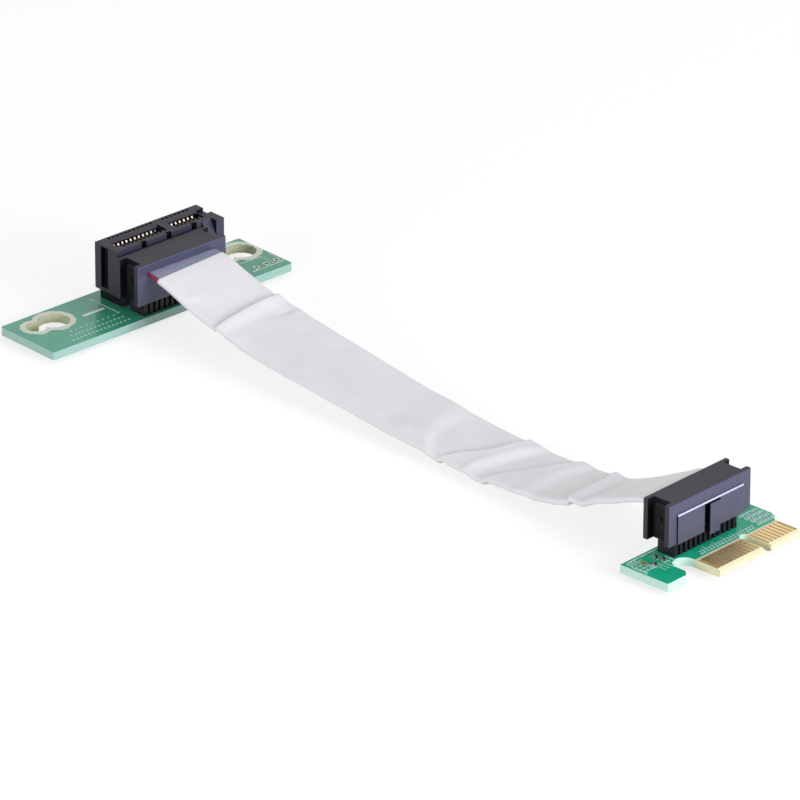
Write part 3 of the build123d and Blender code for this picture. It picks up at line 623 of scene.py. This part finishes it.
# %% Board finishes
MASK_CLOUDS = 0.26
SIDE_LAYERS = (0.3, 0.3, 5.0)
FACING_UP = 0.5
INNER_WALLS = ((-7.5, -4.1), (6.9, 28.6))


def within(tree, ruler, middle, reach):
    """One inside a rectangle on the board, given by its middle and its reach in x and y, in mm."""
    sides = [node(tree, "ShaderNodeMath", {"operation": "COMPARE"}, {
        0: ruler.outputs[axis], 1: centre, 2: half}) for axis, centre, half in zip("XY", middle, reach)]
    here = node(tree, "ShaderNodeMath", {"operation": "MULTIPLY"}, {
        0: sides[0].outputs[0], 1: sides[1].outputs[0]})
    return here.outputs[0]


def board_finish(name, board, turn, mask, side, bare, coat, gloss):
    """Mask on the flat faces, laminate on the sides, and the bare places laid over both.

    A bare place is (face, rectangle, scale, dark, light), where face is flat or side.
    """
    made, tree, shader = material(name, Roughness=0.42, IOR=1.5, Coat_Weight=coat, Coat_Roughness=0.08,
                                  Specular_IOR_Level=gloss)
    spots = node(tree, "ShaderNodeTexCoord")
    local = node(tree, "ShaderNodeMapping", {"vector_type": "TEXTURE"}, {
        "Vector": spots.outputs["Object"], "Location": board.translation, "Rotation": (0, 0, turn),
        "Scale": (MM, MM, MM)})
    place = local.outputs[0]
    ruler = node(tree, "ShaderNodeSeparateXYZ", None, {0: place})
    layers = node(tree, "ShaderNodeMapping", None, {"Vector": place, "Scale": SIDE_LAYERS})
    skins = {
        "flat": cloudy(tree, place, MASK_CLOUDS, *mask),
        "side": cloudy(tree, layers.outputs[0], 1.0, *side),
    }
    for face, rectangle, scale, dark, light in bare:
        laid = node(tree, "ShaderNodeMix", {"data_type": "RGBA"}, {
            "Factor": within(tree, ruler, *rectangle), "A": skins[face],
            "B": cloudy(tree, place, scale, dark, light)})
        skins[face] = laid.outputs["Result"]
    facing = node(tree, "ShaderNodeNewGeometry")
    upright = node(tree, "ShaderNodeSeparateXYZ", None, {0: facing.outputs["Normal"]})
    steep = node(tree, "ShaderNodeMath", {"operation": "ABSOLUTE"}, {0: upright.outputs["Z"]})
    flat = node(tree, "ShaderNodeMath", {"operation": "GREATER_THAN"}, {0: steep.outputs[0], 1: FACING_UP})
    body = node(tree, "ShaderNodeMix", {"data_type": "RGBA"}, {
        "Factor": flat.outputs[0], "A": skins["side"], "B": skins["flat"]})
    tree.links.new(body.outputs["Result"], shader.inputs["Base Color"])
    return made


slot_laminate = board_finish(
    "masked_glass_laminate", slot_frame, 0, ("#2b8f70", "#43a98a"), ("#86b3a8", "#a9cdc4"),
    [("side", INNER_WALLS, 1.2, "#a4ab84", "#c0c6a4")], coat=0.45, gloss=0.4)
dress("slot_board", slot_laminate)
print("slot board in", slot_laminate.name)

# %% [markdown]
# On the edge board the mask stops short of the tongue, where the fingers are plated on the bare
# cream laminate, stained tan between them. Its lacquer is thinner and brighter, with little gloss.

# %% Edge board finish
TONGUE = ((0, -2.0), (5.7, 10.7))
FINGER_STRIP = ((-2.85, -2.0), (2.2, 10.7))

edge_laminate = board_finish(
    "bright_masked_laminate", edge_frame, EDGE_TURN, ("#0fa07a", "#20b88f"), ("#b2dfd0", "#d6efe4"),
    [("flat", TONGUE, 0.8, "#ded5ab", "#ebe5c8"),
     ("flat", FINGER_STRIP, 0.8, "#a98d55", "#bda36c"),
     ("side", TONGUE, 1.0, "#ddd5a4", "#eeead0")], coat=0.15, gloss=0.15)
dress("edge_board", edge_laminate)
print("edge board in", edge_laminate.name)

# %% [markdown]
# The housings are injection moulded in a heat-proof black polyester. The mould's long walls were
# polished, so they are less rough, and their colour is painted a lighter blue-lilac: painted sheen,
# a painted reflection of the room. The top and ends were spark-eroded, which leaves them matt with a
# faint brown cast. Faces inside a recess are painted near black, as painted shade. An IOR near 1.5
# is typical. The clouds are about 8 mm wide, and the eroded grain is a sixth of a millimetre.

# %% Plastic finishes
PLASTIC_CLOUDS = 120.0
GRAIN_SCALE = 6000.0
GRAIN_RELIEF = 0.04 * MM


def moulded(name, dark, light, roughness, gloss):
    """A moulded plastic with the fine grain of its mould."""
    made, tree, shader = material(name, Roughness=roughness, IOR=1.5, Specular_IOR_Level=gloss)
    spots = node(tree, "ShaderNodeTexCoord")
    place = spots.outputs["Object"]
    tree.links.new(cloudy(tree, place, PLASTIC_CLOUDS, dark, light), shader.inputs["Base Color"])
    skin = node(tree, "ShaderNodeTexNoise", None, {"Vector": place, "Scale": GRAIN_SCALE, "Detail": 2.0})
    relief = node(tree, "ShaderNodeBump", None, {
        "Height": skin.outputs["Fac"], "Strength": 0.2, "Distance": GRAIN_RELIEF})
    tree.links.new(relief.outputs["Normal"], shader.inputs["Normal"])
    return made


eroded_black = moulded("spark_eroded_black_polyester", "#28252d", "#34313a", 0.5, 0.28)
# The next two colours are lighter and bluer than the top's: painted sheen, a painted reflection of the room
# on the long walls.
walls_painted_sheen = moulded("walls_painted_sheen_polyester", "#3c4058", "#4a4e69", 0.3, 0.5)
socket_painted_sheen = moulded("socket_painted_sheen_polyester", "#323344", "#3e4052", 0.35, 0.4)
# This near-black colour is painted shade for the faces inside a recess.
recess_painted_shade = moulded("recess_painted_shade_polyester", "#09080b", "#110f14", 0.6, 0.15)
header_black = moulded("moulded_black_header_nylon", "#0d0d11", "#141419", 0.5, 0.3)
print("five moulded finishes, from", eroded_black.name, "to", header_black.name)

# %% [markdown]
# A moulded edge is never razor sharp, and the fine line of light along it is what tells the eye that
# the part is plastic. Each housing is copied from its measured node, merged, and its sharp
# edges get a small round. The copy stands for the node. Its long walls take the finish with painted
# sheen, and the faces inside a recess take the near-black one with painted shade. The seam where a
# cover sits on its body stays unrounded, because the two close without a visible groove.

# %% Housings with rounded edges
PLUG_SEAM = 10.95
SEAM_MARGIN = 0.02
PLUG_WALL = 1.2
SOCKET_WALL = 2.0
OUTER_SKIN = 0.3
FACING = 0.8
SHARP = math.radians(30)
SAME_PLANE = math.radians(0.5)
SAME_SPOT = 1e-6
OUTSIDE, WALL, RECESS = range(3)


def place_of_face(face, to_board, low, high, wall_depth, recess_top):
    """Which finish a face takes: the outside's, the long outer walls' with painted sheen, or a recess's with
    painted shade.
    """
    middle = to_board @ face.calc_center_median()
    if middle.z < recess_top:
        return RECESS
    normal = (to_board.to_3x3() @ face.normal).normalized()
    if abs(normal.x) > FACING:
        return WALL if middle.x > high.x - wall_depth or middle.x < low.x + OUTER_SKIN else RECESS
    if abs(normal.y) > FACING:
        return OUTSIDE if middle.y < low.y + OUTER_SKIN or middle.y > high.y - OUTER_SKIN else RECESS
    return OUTSIDE


def off_the_seam(edge):
    """Whether an edge doesn't lie in the seam between a plug's body and its cover."""
    return any(abs(vert.co.z - PLUG_SEAM * MM) > SEAM_MARGIN * MM for vert in edge.verts)


def rounded_copy(source, width, slot, board, wall_depth, finishes, recess_top=0.0):
    """A copy of a housing with its sharp edges rounded, which replaces it."""
    made = bmesh.new()
    made.from_mesh(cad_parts[source].data)
    bmesh.ops.remove_doubles(made, verts=made.verts, dist=SAME_SPOT)
    bmesh.ops.dissolve_limit(made, angle_limit=SAME_PLANE, verts=made.verts, edges=made.edges)
    sharp = [edge for edge in made.edges
             if len(edge.link_faces) == 2 and edge.calc_face_angle() > SHARP and off_the_seam(edge)]
    bmesh.ops.bevel(made, geom=sharp, offset=width * MM, offset_type="OFFSET", affect="EDGES",
                    segments=2, profile=0.5, material=-1, clamp_overlap=True)
    to_board = board.inverted()
    spots = [to_board @ vert.co for vert in made.verts]
    low = Vector([min(spot[i] for spot in spots) for i in range(3)])
    high = Vector([max(spot[i] for spot in spots) for i in range(3)])
    made.normal_update()
    for face in made.faces:
        face.material_index = place_of_face(face, to_board, low, high, wall_depth, recess_top)
    piece = add_piece(source + "_finish", made, slot, *finishes)
    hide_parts(source)


rounded_copy("card_socket_housing", 0.07, "socket_plastic", slot_frame, SOCKET_WALL,
             (eroded_black, socket_painted_sheen, recess_painted_shade))
for end, board in (("slot", slot_frame), ("edge", edge_frame)):
    shells = (eroded_black, walls_painted_sheen, recess_painted_shade)
    rounded_copy(end + "_plug_body", 0.08, "plug_plastic", board, PLUG_WALL, shells)
    # Faces of a cover below its seam take the recess finish, which is painted shade.
    rounded_copy(end + "_plug_cover", 0.10, "plug_plastic", board, PLUG_WALL, shells, PLUG_SEAM - SEAM_MARGIN)
    rounded_copy(end + "_header_base", 0.05, "header_plastic", board, PLUG_WALL, (header_black,) * 3)

# %% [markdown]
# A slim pale strip along the ledge over the key panel of the edge board's plug is a painted highlight
# for the light that the ledge's top edge catches. It is the brightest line on the plug. It is a slim box with
# all its edges rounded.

# %% Painted highlight on the ledge
HIGHLIGHT_STRIP_LENGTH = 17.2
HIGHLIGHT_STRIP_SIZE = 0.34
HIGHLIGHT_STRIP_ROUND = 0.12
HIGHLIGHT_STRIP_PLACE = (-7.74, -6.35, 11.1)

made = bmesh.new()
at = edge_frame @ Matrix.Translation(HIGHLIGHT_STRIP_PLACE) @ Matrix.Diagonal((HIGHLIGHT_STRIP_SIZE, HIGHLIGHT_STRIP_LENGTH, HIGHLIGHT_STRIP_SIZE, 1))
bmesh.ops.create_cube(made, size=1, matrix=at)
bmesh.ops.bevel(made, geom=made.edges[:], offset=HIGHLIGHT_STRIP_ROUND * MM, offset_type="OFFSET", affect="EDGES",
                segments=3, profile=0.5, material=-1, clamp_overlap=True)
# This pale colour is a painted highlight, not a colour of the plastic.
ledge_painted_highlight = cloudy_material("painted_highlight_strip", 500.0, "#b9bcd2", "#d3d6ea",
                              Roughness=0.15, IOR=1.5, Coat_Weight=0.8, Coat_Roughness=0.05)
add_piece("edge_plug_ledge_painted_highlight", made, "plug_plastic", ledge_painted_highlight, smooth=True)

# %% [markdown]
# The metals: hard gold on the fingers, gold flash on the pins and on each contact, and tin on
# the solder rings and pads. A metal is coloured by its reflection, so its shader is fully metallic,
# keeps the default IOR and differs only in tint and in roughness. The gold of the long group of
# fingers is painted a shade duller than that of the short one, as painted shade of a weaker
# reflection. Below its crest a contact is painted dark brown, as painted shade inside its cavity.
# The chip resistors have a smooth black glaze. All their clouds are 1 to 2.5 mm wide.

# %% Metal finishes
FINGER_CLOUDS = 400.0
FLASH_CLOUDS = 800.0
KEY_SIDE = 3 * MM
CREST_BOTTOM = 12.92 * MM

gold_fingers, tree, shader = material("hard_gold_plating", Metallic=1.0, Roughness=0.4)
spots = node(tree, "ShaderNodeTexCoord")
local = node(tree, "ShaderNodeMapping", {"vector_type": "TEXTURE"}, {
    "Vector": spots.outputs["Object"], "Location": edge_frame.translation, "Rotation": (0, 0, EDGE_TURN)})
ruler = node(tree, "ShaderNodeSeparateXYZ", None, {0: local.outputs[0]})
group = node(tree, "ShaderNodeMapRange", None, {
    "Value": ruler.outputs["Y"], "From Min": -KEY_SIDE, "From Max": KEY_SIDE})
# The long group's gold is painted duller: painted shade, for the weaker reflection it shows.
painted_dim_gold = cloudy(tree, spots.outputs["Object"], FINGER_CLOUDS, "#cfb78d", "#dcc8a0")
bright = cloudy(tree, spots.outputs["Object"], FINGER_CLOUDS, "#dfc28b", "#f0d8a6")
gold = node(tree, "ShaderNodeMix", {"data_type": "RGBA"}, {
    "Factor": group.outputs[0], "A": painted_dim_gold, "B": bright})
tree.links.new(gold.outputs["Result"], shader.inputs["Base Color"])

gold_flash, tree, shader = material("gold_flash_springs_painted_shade", Metallic=1.0, Roughness=0.35)
spots = node(tree, "ShaderNodeTexCoord")
height = node(tree, "ShaderNodeSeparateXYZ", None, {0: spots.outputs["Object"]})
crest = node(tree, "ShaderNodeMath", {"operation": "GREATER_THAN"}, {0: height.outputs["Z"], 1: CREST_BOTTOM})
# Below the crest the contact is painted dark brown: painted shade inside its cavity.
painted_shade_below_crest = cloudy(tree, spots.outputs["Object"], FLASH_CLOUDS, "#4f463d", "#5e544a")
flash = cloudy(tree, spots.outputs["Object"], FLASH_CLOUDS, "#d8d0bb", "#e9e3d2")
spring = node(tree, "ShaderNodeMix", {"data_type": "RGBA"}, {
    "Factor": crest.outputs[0], "A": painted_shade_below_crest, "B": flash})
tree.links.new(spring.outputs["Result"], shader.inputs["Base Color"])

tin = cloudy_material("hot_air_levelled_tin", 900.0, "#b7bab0", "#cccfc5", Metallic=1.0, Roughness=0.42)
pin_gold = cloudy_material("gold_flash_on_square_pins", FLASH_CLOUDS, "#c9a867", "#e0c78e",
                           Metallic=1.0, Roughness=0.3)
glaze = cloudy_material("black_chip_glaze", 900.0, "#131315", "#1f1f22", Roughness=0.3, IOR=1.5)

METAL_PIECES = {
    "edge_fingers_top": gold_fingers,
    "edge_fingers_bottom": gold_fingers,
    "card_socket_contacts_front": gold_flash,
    "card_socket_contacts_back": gold_flash,
    "slot_header_pins": pin_gold,
    "edge_header_pins": pin_gold,
    "slot_board_mounting_rings": tin,
    "slot_board_power_pads": tin,
    "chip_resistor_bodies": glaze,
    "chip_resistor_terminals": tin,
}
for piece, finish in METAL_PIECES.items():
    dress(piece, finish)
print(len(METAL_PIECES), "small pieces dressed")

# %% [markdown]
# Underneath, a small cone of solder sits round every tail of a pin or a contact. The tails are found
# in the pieces' own meshes, from the vertices at their lower ends: those closer together than two
# tails can be belong to one tail.

# %% Solder cones
SOLDER_SIDES = 8
SOLDER_FOOT = 0.5
SOLDER_TIP = 0.25
SOLDER_HEIGHT = 0.55
TAIL_END = 0.5
TAIL_SIZE = 0.72


def tail_middles(source):
    """Middles of a piece's pin tails, seen from above, in metres."""
    made = bmesh.new()
    made.from_mesh(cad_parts[source].data)
    bmesh.ops.remove_doubles(made, verts=made.verts, dist=SAME_SPOT)
    low = min(vert.co.z for vert in made.verts)
    tails = []
    for vert in made.verts:
        if vert.co.z > low + TAIL_END * MM:
            continue
        spot = vert.co.xy.copy()
        near = [tail for tail in tails if (tail[0] - spot).length < TAIL_SIZE * MM]
        if near:
            near[0].append(spot)
        else:
            tails.append([spot])
    made.free()
    return [sum(spots, Vector((0, 0))) / len(spots) for spots in tails]


def solder_cones(source):
    """A small cone of solder round every pin tail that comes out under a board."""
    made = bmesh.new()
    for middle in tail_middles(source):
        at = Matrix.Translation((*middle, (BOARD_BOTTOM - SOLDER_HEIGHT / 2) * MM))
        bmesh.ops.create_cone(made, cap_ends=True, segments=SOLDER_SIDES, radius1=SOLDER_TIP * MM,
                              radius2=SOLDER_FOOT * MM, depth=SOLDER_HEIGHT * MM, matrix=at)
    add_piece(source + "_solder", made, "solder_tin", tin, smooth=True)


for source in ("slot_header_pins", "edge_header_pins",
               "card_socket_contacts_front", "card_socket_contacts_back"):
    solder_cones(source)

# %% [markdown]
# The finest trim is printed and plated on the boards: white ink, the pale rings of the vias, and
# tracks that show through the mask as lighter lines. Each is a flat patch a few hundredths of
# a millimetre thick, measured on the board in millimetres. White ink is matt epoxy, a masked track
# keeps the gloss of the lacquer over it, and a tooling spot is bare laminate.

# %% Flat patches
INK_LIFT = 0.02
INK_THICKNESS = 0.03
INK_CLOUDS = 700.0
VIA_SIDES = 10
VIA_RADIUS = 0.27
VIA_WALL = 0.5

white_ink = cloudy_material("white_screen_ink", INK_CLOUDS, "#dfeae4", "#f2f8f4", Roughness=0.5, IOR=1.5)
track_green = cloudy_material("masked_copper_track", INK_CLOUDS, "#acd8d0", "#d2ebe8", Roughness=0.3, IOR=1.5)
olive = cloudy_material("bare_tooling_spot", INK_CLOUDS, "#7d8f58", "#98a873", Roughness=0.5, IOR=1.5)


def disc(made, board, x, y, radius):
    """Adds a flat disc to a mesh and returns its face."""
    at = board @ Matrix.Translation((x, y, BOARD_TOP + INK_LIFT))
    bmesh.ops.create_circle(made, cap_ends=True, segments=VIA_SIDES, radius=radius, matrix=at)
    made.faces.ensure_lookup_table()
    return made.faces[-1]


def patches(name, board, finish, bars=(), rings=(), discs=()):
    """Bars are (x, y, length in x, length in y), rings and discs are (x, y, radius)."""
    made = bmesh.new()
    for x, y, long, wide in bars:
        at = board @ Matrix.Translation((x, y, BOARD_TOP + INK_LIFT)) @ Matrix.Diagonal((long, wide, 1, 1))
        bmesh.ops.create_grid(made, x_segments=1, y_segments=1, size=0.5, matrix=at)
    for x, y, radius in rings:
        inner = disc(made, board, x, y, radius)
        wall = radius * VIA_WALL * MM
        bmesh.ops.inset_individual(made, faces=[inner], thickness=wall, use_even_offset=True)
        bmesh.ops.delete(made, geom=[inner], context="FACES_ONLY")
    for x, y, radius in discs:
        disc(made, board, x, y, radius)
    grown = bmesh.ops.extrude_face_region(made, geom=made.faces[:])
    lifted = [item for item in grown["geom"] if isinstance(item, bmesh.types.BMVert)]
    bmesh.ops.translate(made, verts=lifted, vec=(0, 0, INK_THICKNESS * MM))
    bmesh.ops.recalc_face_normals(made, faces=made.faces)
    add_piece(name, made, "board_laminate", finish)


def bars_in_line(first, step, count, size):
    """A row of equal bars: the middle of the first, the step to the next, and the size in x and y."""
    return [(first[0] + step[0] * i, first[1] + step[1] * i, *size) for i in range(count)]


def vias(first, pitch, rows, count, shift=0.0):
    """Rows of vias behind each other in x, each along y, with every second row shifted along."""
    return [(first[0] + pitch[0] * row, first[1] + pitch[1] * i + shift * (row % 2), VIA_RADIUS)
            for i in range(count) for row in range(rows)]


print("ink, track and spot finishes are ready")

# %% [markdown]
# The slot board has a short plain bar and frame lines in ink, and three rows of vias along its front
# edge. Each row is given by its distance from that edge, its first place, pitch, count and radius.

# %% Marks on the slot board
VIA_ROWS = [(-1.7, -27.0, 0.95, 15, 0.26), (-3.3, -26.2, 0.95, 14, 0.24), (-4.9, -25.0, 1.3, 9, 0.22)]
LABEL_BAR = (-8.4, -16.5, 0.75, 5.0)
LABEL_LINES = [(-5.2, -13.3, 0.16, 0.9), (-9.4, -13.2, 7.8, 0.16)]
POWER_PAD_LINES = [(-6.1, 19.9, 0.16, 4.8), (-1.9, 20.6, 0.16, 7.6),
                   (-4.0, 22.4, 4.4, 0.16), (-4.0, 24.5, 4.4, 0.16)]

patches("slot_board_ink", slot_frame, white_ink, bars=[LABEL_BAR] + LABEL_LINES + POWER_PAD_LINES)
patches("slot_board_vias", slot_frame, track_green, rings=[
    (x, first + pitch * i, radius) for x, first, pitch, count, radius in VIA_ROWS for i in range(count)])

# %% [markdown]
# The edge board is small and crowded. Blocks of vias stand in front of the header, to its right and
# on the tab side, with short tracks between them. Ink frames the chip resistors, and two olive
# tooling spots are left without mask.

# %% Marks on the edge board
FRONT_VIAS = vias((-6.35, -10.1), (-0.74, 0.8), 2, 18, 0.4)
RIGHT_VIAS = vias((-6.5, 5.2), (-0.72, 0.72), 7, 7, 0.36)
LEFT_VIAS = vias((-12.9, -22.0), (0.95, 0.9), 5, 3)
FINGER_TRACKS = [(-6.8 - 0.35 * (i % 3), -9.7 + 0.8 * i, 1.0, 0.13) for i in range(17)]
RIGHT_TRACKS = (bars_in_line((-6.86, 7.4), (-1.44, 0), 4, (0.16, 4.6))
                + bars_in_line((-8.9, 5.6), (0, 1.44), 3, (4.6, 0.14)))
LEFT_TRACKS = (bars_in_line((-12.4, -20.6), (1.2, 0), 4, (0.13, 3.4))
               + bars_in_line((-8.0, -19.0), (0, 0.9), 4, (2.6, 0.14)))
FRONT_CHIPS = ((-11.3, -16.6), (-9.7, -16.4))
CHIP_SIDE = 0.85
BACK_CHIP = (-9.4, -18.9)
BACK_CHIP_SIDE = 0.7
INK_LINES = [(-13.3, -17.5, 0.2, 8.5), (-8.2, -15.2, 4.4, 0.2), (-9.9, -22.3, 3.6, 0.2)]
TOOLING_SPOTS = [(-11.2, -19.6, 0.75), (-12.4, 7.0, 0.75)]

front_frames = [(x + side, y, 0.2, 1.2) for x, y in FRONT_CHIPS for side in (-CHIP_SIDE, CHIP_SIDE)]
back_frames = [(BACK_CHIP[0], BACK_CHIP[1] + side, 1.8, 0.2) for side in (-BACK_CHIP_SIDE, BACK_CHIP_SIDE)]
patches("edge_board_tracks", edge_frame, track_green, bars=FINGER_TRACKS + RIGHT_TRACKS + LEFT_TRACKS,
        rings=FRONT_VIAS + RIGHT_VIAS + LEFT_VIAS)
patches("edge_board_ink", edge_frame, white_ink, bars=front_frames + back_frames + INK_LINES)
patches("edge_board_tooling_spots", edge_frame, olive, discs=TOOLING_SPOTS)
